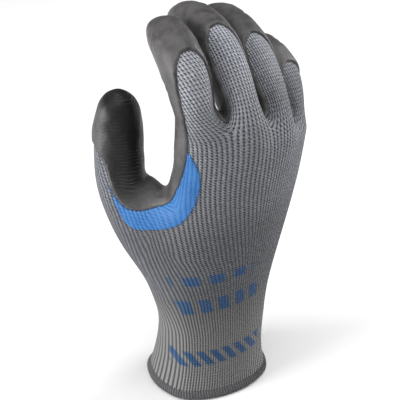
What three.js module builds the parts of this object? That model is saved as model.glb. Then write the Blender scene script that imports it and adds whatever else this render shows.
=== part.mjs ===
// A latex coated knitted work glove for the right hand, standing open as a hand would fill it.
// Millimetres, +Z from the cuff to the fingers, back of the hand towards -Y, thumb towards -X.
// The origin is the middle of the cuff's mouth, where a wrist goes in.
//
// A cage of quads with the topology of a glove is rounded by one Catmull-Clark step. Every cage
// vertex carries its place and two distances in millimetres: to the edge of the charcoal coat and
// to the outer edge of the blue band. The step smooths all of them together, so the knit is that
// surface with a wall inside it, and each coat is the part of it on one side of a zero line,
// lifted off the knit and given a thickness.

import * as THREE from 'three';

// Driving sizes
const handLength = 145.5; // rim of the cuff to the root of the middle finger
const palmWidth = 88.8; // along the arch of the knuckles
const palmDepth = 40; // back to palm at the heel of the hand
const wristWidth = 52.4;
const wristDepth = 42;
const rimWidth = 58; // the flared mouth of the cuff
const rimDepth = 50;
const middleLength = 87.2; // crotch to tip, along the curl
const indexLength = 66.8;
const ringLength = 82.5;
const littleLength = 55;
const fingerWidth = 18.8; // the middle finger's, before the coat
const fingerDepth = 20.6;
const thumbLength = 74; // root in the heel of the hand to the tip
const thumbWidth = 24.4;
const thumbDepth = 24;
const knitWall = 1.6;
const coatWall = 0.9;
const layerGap = 0.3; // between the knit and what lies on it, and between coat and band
const hemWall = 1.3;
const hemHeight = 2.8; // how far the binding reaches up the cuff

// Surface steps and roundness
const columnsAcross = 9; // cage columns on the back of the hand, and as many on the palm
const ringSize = 2 * columnsAcross + 2; // with one column on each side edge
const thumbEdge = ringSize - 1; // the column at the thumb's edge
const thumbFront = ringSize - 2; // and the first one on the palm beside it
const octagon = 8; // cage sides of a finger
const octant = 360 / octagon; // degrees from one of them to the next
const sharpness = 0.8; // how far an octagon's corners reach
const shrink = 0.93; // a cage ring of 8 rounds off to this share of its size
const rad = THREE.MathUtils.degToRad;
const yAxis = new THREE.Vector3(0, 1, 0);
const zAxis = new THREE.Vector3(0, 0, 1);

// Fields of a cage vertex
const COAT = 3;
const BAND = 4;

// Rings of the palm and the cuff, from the rim up. The middle of each ring lies x and y off the
// axis, half is half the width along the arch, back and front are the depths either way, cup and
// turn are the arch's half angle and its roll in degrees, and thenar is the bulge at the thumb.
const half = palmWidth / 2;
const sections = [
  { up: 0, x: 0, y: 0, half: rimWidth / 2, back: rimDepth / 2, front: rimDepth / 2, cup: 0, turn: 0 },
  { up: 0.104, x: 0.012, y: 0, half: 0.438 * rimWidth, back: 0.45 * rimDepth, front: 0.45 * rimDepth,
    cup: 0, turn: 0 },
  { up: 0.23, x: 0.032, y: 0, half: wristWidth / 2, back: wristDepth / 2, front: wristDepth / 2,
    cup: 3, turn: 0 },
  { up: 0.34, x: 0.03, y: -0.011, half: 0.53 * wristWidth, back: 0.476 * wristDepth,
    front: 0.488 * wristDepth, cup: 8, turn: 1, thenar: 0.1 },
  { up: 0.539, x: 0.092, y: -0.056, half: 0.734 * half, back: 0.462 * palmDepth, front: 0.55 * palmDepth,
    cup: 21, turn: 6, thenar: 0.16 },
  { up: 0.732, x: 0.171, y: -0.107, half: 0.878 * half, back: 0.412 * palmDepth, front: 0.512 * palmDepth,
    cup: 36, turn: 11 },
  { up: 0.876, x: 0.221, y: -0.158, half: 0.923 * half, back: 0.362 * palmDepth, front: 0.412 * palmDepth,
    cup: 48, turn: 15 },
  { up: 1, x: 0.239, y: -0.191, half, back: 0.3 * palmDepth, front: 0.312 * palmDepth, cup: 55, turn: 17 },
];
const top = sections.length - 1;
// Where the columns stand along the arch, from the thumb's side to the little finger's.
const columnAt = [-0.9, -0.71, -0.49, -0.27, -0.05, 0.17, 0.39, 0.64, 0.9];
const edgeReach = 1.07; // the side edges, as a share of half the width
const knuckleTuck = 0.025; // how far the little finger's root is drawn in from the edge
// How the knuckle row rises and falls along the arch, as shares of the hand's length.
const knuckleRow = [[-1, -0.014], [-0.5, 0.002], [0, -0.026], [0.45, -0.114], [1, -0.158]];
const palmSideRise = 0.028; // the crotches lie higher on the palm's side
const crotchPinch = 0.6;
const knuckleSwell = 1.12;
const webDip = 0.0106;

// The fingers, from the thumb's side. Splay leans a finger over sideways, turn rolls the plane that
// it curls in, and flex is how far its three bones turn, in degrees. Width and depth are shares.
const fingers = [
  { length: indexLength, width: 1.02, depth: 0.978, splay: -8.8, turn: -9.5, flex: [2, 57, 43],
    tongue: 28, open: 67, lean: -16, apex: 0.54, shift: [-0.008, -0.012] },
  { length: middleLength, width: 0.965, depth: 1.06, splay: -2.6, turn: -2, flex: [32, 43, 42],
    tongue: 20, open: 78, lean: -26, apex: 0.53, shift: [0.004, 0.016] },
  { length: ringLength, width: 0.9, depth: 0.94, splay: 0.5, turn: 1, flex: [33, 33.5, 38],
    tongue: 18, open: 78, lean: -26, apex: 0.53, shift: [0.013, 0.002] },
  { length: littleLength, width: 0.92, depth: 0.81, splay: 2.4, turn: 7, flex: [10, 48, 38],
    tongue: 24, open: 78, lean: -22, apex: 0.49, shift: [0.06, -0.008] },
];
// Rings of a finger: where along it, and its width and depth there.
const fingerRings = [
  { along: 0.09, width: 0.81, depth: 1 },
  { along: 0.22, width: 0.95, depth: 1.01 },
  { along: 0.38, width: 1, depth: 1.05 },
  { along: 0.55, width: 0.97, depth: 0.98 },
  { along: 0.72, width: 0.91, depth: 0.9 },
  { along: 0.89, width: 0.73, depth: 0.71 },
];
const knuckles = { middle: 0.362, tip: 0.688, softness: 0.045 };
const tipReach = 1;
const untwistBy = 0.55; // by here a finger's rings have turned from the arch to its own plane
const pathSteps = 200;

// The thumb leaves the palm through a hole between these cage rings, at the radial edge.
const thumbHole = { from: 3, middle: 4, to: 5 };
// Rings of the thumb: its middle from the root in shares of its length (out is towards -X, front
// towards +Y), the lean of its width and the way it faces in degrees, its half width and half
// depth in shares of its width and depth, and the coat's and band's distances at each of its
// eight sides. The sides run from the back and outside corner over the back, the web and the pad
// to the outside.
const thumbRings = [
  { out: 0.044, front: 0.128, up: 0.112, lean: 77.1, face: -14.7, width: 0.906, depth: 0.583,
    coat: [-15, -13, 1.8, 10, 12, 8, -5, -15], band: [-15, -4.8, 11, 16, 16, 8, -5, -15] },
  { out: 0.095, front: 0.199, up: 0.2, lean: 62.5, face: -21.8, width: 0.717, depth: 0.567,
    coat: [-13, -6, 6, 13, 12, 7, -5, -12], band: [-8, 2, 15, 18, 16, 7, -5, -12] },
  { out: 0.13, front: 0.274, up: 0.3, lean: 39.8, face: -25.3, width: 0.525, depth: 0.542,
    coat: [-8, 1.2, 9, 15, 12, 5, -5, -9], band: [-6, 4.5, 14, 18, 14, 5, -5, -9] },
  { out: 0.13, front: 0.351, up: 0.402, lean: 17.7, face: -29.3, width: 0.487, depth: 0.517,
    coat: [-5, 2.8, 12, 14, 12, 4, -5, -8] },
  { out: 0.108, front: 0.405, up: 0.525, lean: 4.8, face: -31.4, width: 0.47, depth: 0.49,
    coat: [-4.8, 3.3, 12, 14, 12, 3.3, -4.8, -6] },
  { out: 0.082, front: 0.446, up: 0.66, lean: 0, face: -31.7, width: 0.467, depth: 0.465,
    coat: [2, 8, 14, 15, 14, 8, 2, 1.5] },
  { out: 0.058, front: 0.473, up: 0.79, lean: -2.6, face: -32.1, width: 0.412, depth: 0.41,
    coat: [9, 12, 14, 14, 14, 12, 9, 8] },
  { out: 0.049, front: 0.483, up: 0.885, lean: -3.6, face: -30.1, width: 0.29, depth: 0.29,
    coat: [12, 12, 12, 12, 12, 12, 12, 12] },
];
const thumbTip = { out: 0.05, front: 0.487, up: 0.978 };
const thumbBack = new THREE.Vector3(-0.5, -0.86, 0).normalize(); // the side of its back
const thenarWay = new THREE.Vector3(-0.85, 0.5, 0);
const thenarShares = {
  [thumbEdge]: 1, [thumbFront]: 1, [thumbFront - 1]: 0.6, [thumbFront - 2]: 0.2, 0: 0.35,
};

// Distances to the coat's edge on the palm, in millimetres, positive where it is coated.
const coatFrom = 0.381; // the coat's lower edge on the palm, a share of the hand's length
const coatFull = 12;
const backBare = -14;
const edgeRows = {
  radialBack: [-20, -20, -20, -20, -20, -5, 0, 1.3],
  radialNext: [-24, -24, -24, -24, -24, -14, -10, -9],
  radial: [-20, -20, -16, -12, 0, 4.3, 5.5, 6.5],
  radialFront: [-50, -37, -22, -7, 2, 8, 9, 10],
};
const bandRows = {
  radialBack: [-20, -20, -20, -20, -14, 8, 7, -6],
  radialNext: [-24, -24, -24, -24, -20, -2.5, -1.5, -12],
  radial: [-20, -20, -16, -12, 0, 12.3, 13.5, -2],
};

// Point and directions on the arch of a palm ring at s, from -1 at the thumb's edge to 1.
function onArch(section, s) {
  const z = section.up * handLength;
  const cup = rad(section.cup);
  const roll = rad(section.turn);
  const radius = cup > 0 ? section.half / cup : 0;
  const x = cup > 0 ? radius * Math.sin(cup * s) : section.half * s;
  const y = cup > 0 ? radius * (1 - Math.cos(cup * s)) : 0;
  const angle = cup * s + roll;
  return {
    point: new THREE.Vector3(
      section.x * palmWidth + x * Math.cos(roll) - y * Math.sin(roll),
      section.y * palmWidth + x * Math.sin(roll) + y * Math.cos(roll),
      z,
    ),
    out: new THREE.Vector3(Math.sin(angle), -Math.cos(angle), 0),
    along: new THREE.Vector3(Math.cos(angle), Math.sin(angle), 0),
  };
}

function between(table, s) {
  const last = table.length - 1;
  if (s <= table[0][0]) return table[0][1];
  if (s >= table[last][0]) return table[last][1];
  const i = table.findIndex(([at]) => at > s);
  const [[s0, v0], [s1, v1]] = [table[i - 1], table[i]];
  return v0 + ((v1 - v0) * (s - s0)) / (s1 - s0);
}

// How deep the hand is at a column: thinner at the edges, pinched at the crotches.
function depthShare(column, row) {
  const side = 1 - 0.45 * Math.abs(columnAt[column]) ** 2.4;
  if (row < top || column === 0 || column === columnsAcross - 1) return side;
  return side * (column % 2 === 0 ? crotchPinch : knuckleSwell);
}

// The coat's and band's distances at a palm vertex.
function palmFields(row, j, z) {
  const aboveEdge = z - coatFrom * handLength;
  if (j === 0) return [edgeRows.radialBack[row], bandRows.radialBack[row]];
  if (j === 1) return [edgeRows.radialNext[row], bandRows.radialNext[row]];
  if (j === thumbFront) return [edgeRows.radialFront[row], edgeRows.radialFront[row]];
  if (j === thumbEdge) return [edgeRows.radial[row], bandRows.radial[row]];
  let coat = Math.min(coatFull, aboveEdge);
  if (j < columnsAcross) coat = row < top ? backBare : j % 2 === 0 ? -3 : -8;
  if (j === columnsAcross - 1) coat = -9;
  if (j === columnsAcross) coat = Math.min(-2, aboveEdge);
  if (j === columnsAcross + 1) coat = Math.min(5, aboveEdge);
  return [coat, coat];
}

// One cage ring of the palm: the back's columns, the little finger's edge, the palm's columns
// back again, and the thumb's edge.
function palmRing(section, row) {
  const ring = [];
  for (let j = 0; j < ringSize; j++) {
    const isBack = j < columnsAcross;
    const isEdge = j === columnsAcross || j === thumbEdge;
    const column = isBack ? j : thumbFront - j;
    const s = isEdge ? (j === columnsAcross ? 1 : -1) : columnAt[column];
    const at = onArch(section, s);
    const point = at.point.clone();
    if (isEdge) point.addScaledVector(at.along, s * (edgeReach - 1) * section.half);
    else if (isBack) point.addScaledVector(at.out, section.back * depthShare(column, row));
    else point.addScaledVector(at.out, -section.front * depthShare(column, row));
    if (row === top && j === columnsAcross) point.addScaledVector(at.along, -knuckleTuck * palmWidth);
    point.addScaledVector(thenarWay, (section.thenar ?? 0) * palmDepth * (thenarShares[j] ?? 0));
    if (row === top) {
      point.z += between(knuckleRow, s) * handLength;
      if (!isBack && !isEdge) point.z += palmSideRise * handLength;
    }
    ring.push([...point.toArray(), ...palmFields(row, j, point.z)]);
  }
  return ring;
}

// A finger's bent middle line: the angle turned and the way gone forward and down at each step.
function bentPath(length, flex) {
  const [base, middle, tip] = flex.map(rad);
  const step = (tipReach * length) / pathSteps;
  const bend = (share, at) => 1 / (1 + Math.exp(-(share - at) / knuckles.softness));
  const angleAt = (gone) =>
    base + middle * bend(gone / length, knuckles.middle) + tip * bend(gone / length, knuckles.tip);
  return (distance) => {
    let forward = 0;
    let down = 0;
    let gone = 0;
    while (gone < distance - 1e-9) {
      const stride = Math.min(step, distance - gone);
      const angle = angleAt(gone + stride / 2);
      forward += Math.cos(angle) * stride;
      down += Math.sin(angle) * stride;
      gone += stride;
    }
    return { angle: angleAt(distance), forward, down };
  };
}

const vectorOf = (vertex) => new THREE.Vector3(vertex[0], vertex[1], vertex[2]);
const halfway = (a, b) => vectorOf(a).add(vectorOf(b)).multiplyScalar(0.5);
// The way one leans towards the other by an angle, for two ways at right angles.
const blend = (one, other, angle) =>
  one.clone().multiplyScalar(Math.cos(angle)).addScaledVector(other, Math.sin(angle));
// The eight corners of a ring, as ways sideways and backwards, from the back's left corner.
const corners = Array.from({ length: octagon }, (_, i) => {
  const angle = rad((3 - i) * octant);
  const reach = i % 2 === 0 ? sharpness * Math.SQRT2 : 1;
  return [(Math.cos(angle) * reach) / shrink, (Math.sin(angle) * reach) / shrink];
});

// Distance to the knit's tongue on the back of a finger, in millimetres round and along it.
function tongueDistance(finger, along, corner, radius) {
  const side = (corner - 1) * octant;
  const share = along / finger.apex;
  const middle = finger.tongue + finger.lean * Math.min(1, share);
  const wrapped = ((side - middle + 540) % 360) - 180;
  const past = (along - finger.apex) * finger.length;
  if (share >= 1) return radius * rad(Math.abs(wrapped)) * 0.5 + past;
  const opening = finger.open * Math.sqrt(1 - share ** 3);
  return THREE.MathUtils.clamp(radius * rad(Math.abs(wrapped) - opening), -8, coatFull);
}

// The whole cage: vertices with their fields, and quads that point outwards.
function gloveCage() {
  const vertices = sections.flatMap((section, row) => palmRing(section, row));
  const quads = [];
  const at = (row, j) => row * ringSize + (j % ringSize);
  for (let row = 0; row < top; row++) {
    for (let j = 0; j < ringSize; j++) {
      const isHole = row >= thumbHole.from && row < thumbHole.to && j >= thumbFront;
      if (!isHole) quads.push([at(row, j), at(row, j + 1), at(row + 1, j + 1), at(row + 1, j)]);
    }
  }

  function addTube(firstRing, rings, tip) {
    let previous = firstRing;
    for (const ring of rings) {
      const ids = ring.map((vertex) => vertices.push(vertex) - 1);
      for (let i = 0; i < octagon; i++) {
        const next = (i + 1) % octagon;
        quads.push([previous[i], previous[next], ids[next], ids[i]]);
      }
      previous = ids;
    }
    const centre = vertices.push(tip) - 1;
    for (let i = 0; i < octagon; i += 2) {
      quads.push([previous[i], previous[i + 1], centre, previous[(i + octagon - 1) % octagon]]);
    }
  }

  // Crotches between the fingers
  const webs = [at(top, thumbEdge)];
  for (let k = 1; k < fingers.length; k++) {
    const web = halfway(vertices[at(top, 2 * k)], vertices[at(top, thumbFront - 2 * k)]);
    web.z -= webDip * handLength;
    webs.push(vertices.push([...web.toArray(), 3, 3]) - 1);
  }
  webs.push(at(top, columnsAcross));

  fingers.forEach((finger, k) => addFinger(finger, k));

  function addFinger(finger, k) {
    const back = [2 * k, 2 * k + 1, 2 * k + 2].map((j) => at(top, j));
    const front = [2, 1, 0].map((j) => at(top, thumbFront - j - 2 * k));
    const firstRing = [...back, webs[k + 1], ...front, webs[k]];
    const base = halfway(vertices[back[1]], vertices[front[1]]);
    base.z -= 0.007 * handLength;
    const outer = k === 0 ? [webs[0], back[0]] : k === fingers.length - 1 ? [webs[k + 1], back[2]] : null;
    if (outer) {
      const lean = vectorOf(vertices[outer[0]]).sub(vectorOf(vertices[outer[1]])).multiplyScalar(0.5);
      base.add(lean.setZ(0));
    }
    base.x += finger.shift[0] * palmWidth;
    base.y += finger.shift[1] * palmWidth;

    const roll = rad(finger.turn);
    const out = new THREE.Vector3(Math.sin(roll), -Math.cos(roll), 0);
    const across = new THREE.Vector3(Math.cos(roll), Math.sin(roll), 0);
    const ahead = new THREE.Vector3(0, 0, 1);
    const forward = blend(ahead, across, rad(finger.splay));
    const sideways = blend(across, ahead, -rad(finger.splay));
    const archOut = onArch(sections[top], columnAt[2 * k + 1]).out;
    const twist = Math.atan2(archOut.x, -archOut.y) - roll;
    const path = bentPath(finger.length, finger.flex);
    const place = (distance) => {
      const bent = path(distance);
      return {
        point: base.clone().addScaledVector(forward, bent.forward).addScaledVector(out, -bent.down),
        back: blend(out, forward, bent.angle),
      };
    };
    const width = (finger.width * fingerWidth) / 2;
    const depth = (finger.depth * fingerDepth) / 2;
    const rings = fingerRings.map((ring) => {
      const { point, back: up } = place(ring.along * finger.length);
      const turned = twist * Math.max(0, 1 - ring.along / untwistBy);
      const wide = blend(sideways, up, -turned);
      const deep = blend(up, sideways, turned);
      return corners.map(([x, y], corner) => {
        const vertex = point.clone().addScaledVector(wide, x * width * ring.width)
          .addScaledVector(deep, y * depth * ring.depth);
        const coat = tongueDistance(finger, ring.along, corner, width);
        return [...vertex.toArray(), coat, coat];
      });
    });
    const tip = place(tipReach * finger.length).point;
    addTube(firstRing, rings, [...tip.toArray(), coatFull, coatFull]);
  }

  // Thumb
  const { from, middle, to } = thumbHole;
  const hole = [
    [from, 0], [middle, 0], [to, 0], [to, thumbEdge],
    [to, thumbFront], [middle, thumbFront], [from, thumbFront], [from, thumbEdge],
  ];
  const firstRing = hole.map(([row, j]) => at(row, j));
  const root = halfway(vertices[at(middle, 0)], vertices[at(middle, thumbFront)]);
  const fromRoot = ({ out, front, up }) =>
    root.clone().add(new THREE.Vector3(-out, front, up).multiplyScalar(thumbLength));
  const thumb = thumbRings.map((ring) => {
    const centre = fromRoot(ring);
    const wide = new THREE.Vector3(1, 0, 0).applyAxisAngle(yAxis, rad(-ring.lean))
      .applyAxisAngle(zAxis, rad(ring.face));
    const deep = thumbBack.clone().addScaledVector(wide, -thumbBack.dot(wide)).normalize();
    return corners.map(([x, y], corner) => {
      const vertex = centre.clone().addScaledVector(wide, x * ring.width * thumbWidth)
        .addScaledVector(deep, y * ring.depth * thumbDepth);
      return [...vertex.toArray(), ring.coat[corner], (ring.band ?? ring.coat)[corner]];
    });
  });
  addTube(firstRing, thumb, [...fromRoot(thumbTip).toArray(), coatFull, coatFull]);
  return { vertices, quads };
}

// Mean of some vertices, field by field.
function mean(list) {
  return list[0].map((_, i) => list.reduce((sum, vertex) => sum + vertex[i], 0) / list.length);
}

// One Catmull-Clark step. A vertex on the open rim is rounded along the rim alone.
function subdivide({ vertices, quads }) {
  const facePoints = quads.map((quad) => mean(quad.map((i) => vertices[i])));
  const edges = new Map();
  const keyOf = (a, b) => (a < b ? `${a} ${b}` : `${b} ${a}`);
  quads.forEach((quad, face) => {
    quad.forEach((a, i) => {
      const b = quad[(i + 1) % 4];
      const edge = edges.get(keyOf(a, b)) ?? { ends: [a, b], faces: [] };
      edge.faces.push(face);
      edges.set(keyOf(a, b), edge);
    });
  });
  const around = vertices.map(() => ({ edges: [], faces: [] }));
  quads.forEach((quad, face) => quad.forEach((i) => around[i].faces.push(face)));
  for (const edge of edges.values()) edge.ends.forEach((i) => around[i].edges.push(edge));

  const middleOf = (edge) => mean(edge.ends.map((i) => vertices[i]));
  const finer = [];
  const moved = vertices.map((vertex, i) => {
    const { edges: near, faces } = around[i];
    if (near.length === 0) return -1;
    const rim = near.filter((edge) => edge.faces.length === 1);
    const next = rim.length > 0
      ? mean([vertex, mean(rim.map(middleOf))])
      : weigh(vertex, mean(faces.map((face) => facePoints[face])), mean(near.map(middleOf)), near.length);
    return finer.push(next) - 1;
  });
  for (const edge of edges.values()) {
    const points = edge.ends.map((i) => vertices[i]);
    if (edge.faces.length === 2) points.push(...edge.faces.map((face) => facePoints[face]));
    edge.id = finer.push(mean(points)) - 1;
  }
  const finerQuads = [];
  quads.forEach((quad, face) => {
    const centre = finer.push(facePoints[face]) - 1;
    quad.forEach((a, i) => {
      const after = edges.get(keyOf(a, quad[(i + 1) % 4])).id;
      const before = edges.get(keyOf(quad[(i + 3) % 4], a)).id;
      finerQuads.push([moved[a], after, centre, before]);
    });
  });
  return { vertices: finer, quads: finerQuads };
}

// A vertex's new place among n neighbours: (face mean + 2 edge mean + (n - 3) itself) / n.
function weigh(vertex, faceMean, edgeMean, n) {
  return vertex.map((value, i) => (faceMean[i] + 2 * edgeMean[i] + (n - 3) * value) / n);
}

// Normals of the surface, as the mean of the quads' own around each vertex.
function normalsOf({ vertices, quads }) {
  const normals = vertices.map(() => new THREE.Vector3());
  for (const quad of quads) {
    const [a, b, c, d] = quad.map((i) => vectorOf(vertices[i]));
    const normal = c.sub(a).cross(d.sub(b));
    for (const i of quad) normals[i].add(normal);
  }
  return normals.map((normal) => normal.normalize());
}

// Triangles of the quads, each cut along its shorter diagonal.
function trianglesOf({ vertices, quads }) {
  const apart = (a, b) => vectorOf(vertices[a]).distanceTo(vectorOf(vertices[b]));
  return quads.flatMap(([a, b, c, d]) =>
    apart(a, c) <= apart(b, d) ? [[a, b, c], [a, c, d]] : [[a, b, d], [b, c, d]]);
}

// Edges that only one triangle uses, in that triangle's own order.
function openEdges(triangles) {
  const uses = new Map();
  for (const [a, b, c] of triangles) {
    for (const [from, to] of [[a, b], [b, c], [c, a]]) uses.set(`${from} ${to}`, [from, to]);
  }
  return [...uses.values()].filter(([from, to]) => !uses.has(`${to} ${from}`));
}

// A closed body between two offsets of one open patch.
function thicken(points, normals, triangles, inner, outer) {
  const positions = [];
  for (const offset of [outer, inner]) {
    points.forEach((point, i) => {
      positions.push(...point.clone().addScaledVector(normals[i], offset).toArray());
    });
  }
  const count = points.length;
  const index = [];
  for (const [a, b, c] of triangles) index.push(a, b, c, a + count, c + count, b + count);
  for (const [a, b] of openEdges(triangles)) index.push(b, a, a + count, b, a + count, b + count);
  return { positions, index };
}

// The part of a triangulated patch where a field is above zero, cut along its zero line. Corners
// that lie almost on the line are counted in, so that no sliver is left.
function clip(patch, fieldOf) {
  const nearly = 0.12;
  const points = [...patch.points];
  const normals = [...patch.normals];
  const fields = [...patch.fields];
  const values = fields.map((field) => {
    const value = fieldOf(field);
    return Math.abs(value) < nearly ? 0 : value;
  });
  const cuts = new Map();
  function cutBetween(a, b) {
    const key = a < b ? `${a} ${b}` : `${b} ${a}`;
    if (!cuts.has(key)) {
      const t = values[a] / (values[a] - values[b]);
      points.push(points[a].clone().lerp(points[b], t));
      normals.push(normals[a].clone().lerp(normals[b], t).normalize());
      fields.push(fields[a].map((value, i) => value + (fields[b][i] - value) * t));
      values.push(0);
      cuts.set(key, points.length - 1);
    }
    return cuts.get(key);
  }
  const triangles = [];
  for (const triangle of patch.triangles) {
    const kept = [];
    triangle.forEach((a, i) => {
      const b = triangle[(i + 1) % 3];
      if (values[a] >= 0) kept.push(a);
      if (values[a] * values[b] < 0) kept.push(cutBetween(a, b));
    });
    const isInside = triangle.some((i) => values[i] > 0);
    if (isInside) for (let i = 2; i < kept.length; i++) triangles.push([kept[0], kept[i - 1], kept[i]]);
  }
  return compact({ points, normals, fields, triangles });
}

// Drops the points that no triangle uses.
function compact({ points, normals, fields, triangles }) {
  const used = [...new Set(triangles.flat())];
  const place = new Map(used.map((old, i) => [old, i]));
  return {
    points: used.map((i) => points[i]),
    normals: used.map((i) => normals[i]),
    fields: used.map((i) => fields[i]),
    triangles: triangles.map((triangle) => triangle.map((i) => place.get(i))),
  };
}

function meshOf(name, { positions, index }, color, roughness) {
  const geometry = new THREE.BufferGeometry();
  geometry.setAttribute('position', new THREE.Float32BufferAttribute(positions, 3));
  geometry.setIndex(index);
  geometry.computeVertexNormals();
  const mesh = new THREE.Mesh(geometry, new THREE.MeshStandardMaterial({ color, roughness, metalness: 0 }));
  mesh.name = name;
  return mesh;
}

// The knit: the rounded surface, and a wall inside it
const surface = subdivide(gloveCage());
const patch = {
  points: surface.vertices.map(vectorOf),
  normals: normalsOf(surface),
  fields: surface.vertices.map((vertex) => [vertex[COAT], vertex[BAND]]),
  triangles: trianglesOf(surface),
};
const knitShell = thicken(patch.points, patch.normals, patch.triangles, -knitWall, 0);

// The charcoal coat, and the blue band that ends where the coat begins
const coatPatch = clip(patch, ([coat]) => coat);
const palmCoating = thicken(
  coatPatch.points, coatPatch.normals, coatPatch.triangles, layerGap, layerGap + coatWall);
const bandPatch = clip(clip(patch, ([, band]) => band), ([coat]) => -coat - layerGap);
const thumbCrotchBand = thicken(
  bandPatch.points, bandPatch.normals, bandPatch.triangles, layerGap, layerGap + coatWall);

// The binding, as a U that grips the rim: how far out from the knit's face, and how far below
// the rim, for each corner of its section
const under = layerGap + hemWall;
const inside = -knitWall - layerGap;
const hemSection = [
  [layerGap, -hemHeight], [under, -hemHeight], [1.15 * under, 0], [0.3 * under, under],
  [inside - 0.3 * under, under], [inside - 1.1 * hemWall, 0], [inside - hemWall, -hemHeight],
  [inside, -hemHeight], [inside, layerGap], [layerGap, layerGap],
];
function hemBinding() {
  const rimEdges = openEdges(patch.triangles);
  const nextOf = new Map(rimEdges);
  const loop = [rimEdges[0][0]];
  while (loop.length < rimEdges.length) loop.push(nextOf.get(loop[loop.length - 1]));
  const above = new Map();
  for (const quad of surface.quads) {
    quad.forEach((a, i) => {
      const b = quad[(i + 1) % 4];
      if (nextOf.has(a) && !nextOf.has(b)) above.set(a, b);
      if (nextOf.has(b) && !nextOf.has(a)) above.set(b, a);
    });
  }
  const positions = [];
  for (const i of loop) {
    const point = patch.points[i];
    const down = point.clone().sub(patch.points[above.get(i)]).normalize();
    for (const [out, below] of hemSection) {
      const corner = point.clone().addScaledVector(patch.normals[i], out).addScaledVector(down, below);
      positions.push(...corner.toArray());
    }
  }
  const index = [];
  const sides = hemSection.length;
  loop.forEach((_, i) => {
    const next = (i + 1) % loop.length;
    for (let side = 0; side < sides; side++) {
      const after = (side + 1) % sides;
      const [a, b, c, d] = [i * sides + side, i * sides + after, next * sides + after, next * sides + side];
      index.push(a, b, c, a, c, d);
    }
  });
  return { positions, index };
}

const glove = new THREE.Group();
glove.name = 'latex_coated_grip_glove';
glove.add(
  meshOf('knit_shell', knitShell, 0x85878c, 0.95),
  meshOf('palm_coating', palmCoating, 0x3f3e3d, 0.6),
  meshOf('thumb_crotch_band', thumbCrotchBand, 0x3c7fc8, 0.6),
  meshOf('cuff_hem', hemBinding(), 0x5f6063, 0.95),
);

export default glove;
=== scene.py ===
# %% [markdown]
# # A latex coated grip glove
#
# A work glove for the right hand, standing open as a hand would fill it. It is knitted in one piece
# from grey yarn and dipped: the palm, the fingers' insides and tips and the thumb are charcoal
# latex, and a blue latex band goes round the crotch of the thumb. A dark overlocked edge binds the
# flared cuff.
#
# All four pieces follow one surface, so that surface is worked out first, as a cage of a few
# hundred quads that is rounded by repeated smoothing. The same cage gives the CAD model its
# solids, and here it is only rounded further.

# %% Load the frame
import math

import bpy
import numpy as np
from mathutils import Matrix, Vector


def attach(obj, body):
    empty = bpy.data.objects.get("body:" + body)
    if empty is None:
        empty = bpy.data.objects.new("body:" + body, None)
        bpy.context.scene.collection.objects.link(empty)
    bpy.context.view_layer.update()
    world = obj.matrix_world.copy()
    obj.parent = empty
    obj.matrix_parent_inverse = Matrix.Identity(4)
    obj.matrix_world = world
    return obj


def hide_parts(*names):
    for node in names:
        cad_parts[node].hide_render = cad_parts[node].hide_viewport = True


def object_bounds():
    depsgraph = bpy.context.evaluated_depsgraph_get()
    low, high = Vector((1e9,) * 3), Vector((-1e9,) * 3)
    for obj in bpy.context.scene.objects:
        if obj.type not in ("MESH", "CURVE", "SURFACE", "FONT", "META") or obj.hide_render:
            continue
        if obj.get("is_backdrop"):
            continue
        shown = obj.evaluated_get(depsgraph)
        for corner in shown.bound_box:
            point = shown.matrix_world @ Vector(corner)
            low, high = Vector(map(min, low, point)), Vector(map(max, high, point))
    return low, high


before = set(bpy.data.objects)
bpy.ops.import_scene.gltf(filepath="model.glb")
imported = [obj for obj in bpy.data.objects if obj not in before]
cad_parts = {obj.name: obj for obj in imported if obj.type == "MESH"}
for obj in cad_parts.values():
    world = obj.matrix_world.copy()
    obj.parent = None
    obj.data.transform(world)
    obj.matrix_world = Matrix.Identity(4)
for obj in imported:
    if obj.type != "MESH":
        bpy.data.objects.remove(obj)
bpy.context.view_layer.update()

# %% [markdown]
# ## The sizes of the glove
#
# Millimetres, +Z from the cuff to the fingers, back of the hand towards -Y, thumb towards -X, and
# the origin in the middle of the cuff's mouth. Everything below is a share of these sizes.

# %% Driving sizes
MM = 0.001
HAND_LENGTH = 145.5      # rim of the cuff to the root of the middle finger
PALM_WIDTH = 88.8        # along the arch of the knuckles
PALM_DEPTH = 40.0
WRIST_WIDTH, WRIST_DEPTH = 52.4, 42.0
RIM_WIDTH, RIM_DEPTH = 58.0, 50.0
FINGER_WIDTH, FINGER_DEPTH = 18.8, 20.6
THUMB_LENGTH, THUMB_WIDTH, THUMB_DEPTH = 74.0, 24.4, 24.0
KNIT_WALL = 1.6
COAT_WALL = 0.9
LAYER_GAP = 0.3          # how far the CAD skins stand off the knit
COLUMNS = 9              # cage columns on the back of the hand, and as many on the palm
RING_SIZE = 2 * COLUMNS + 2

# %% [markdown]
# ## The cage
#
# A hand is a tube that branches. Each ring of the palm and cuff lies on an arc: cup is the arc's
# half angle and turn its roll, because the knuckles of a gripping hand stand in an arch. The
# columns of the back run from the thumb's side to the little finger's, and those of the palm run
# back again.

# %% Tables of the palm
def table(keys, rows):
    """Rows of numbers under the words of keys."""
    return [dict(zip(keys.split(), row)) for row in rows]


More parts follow.
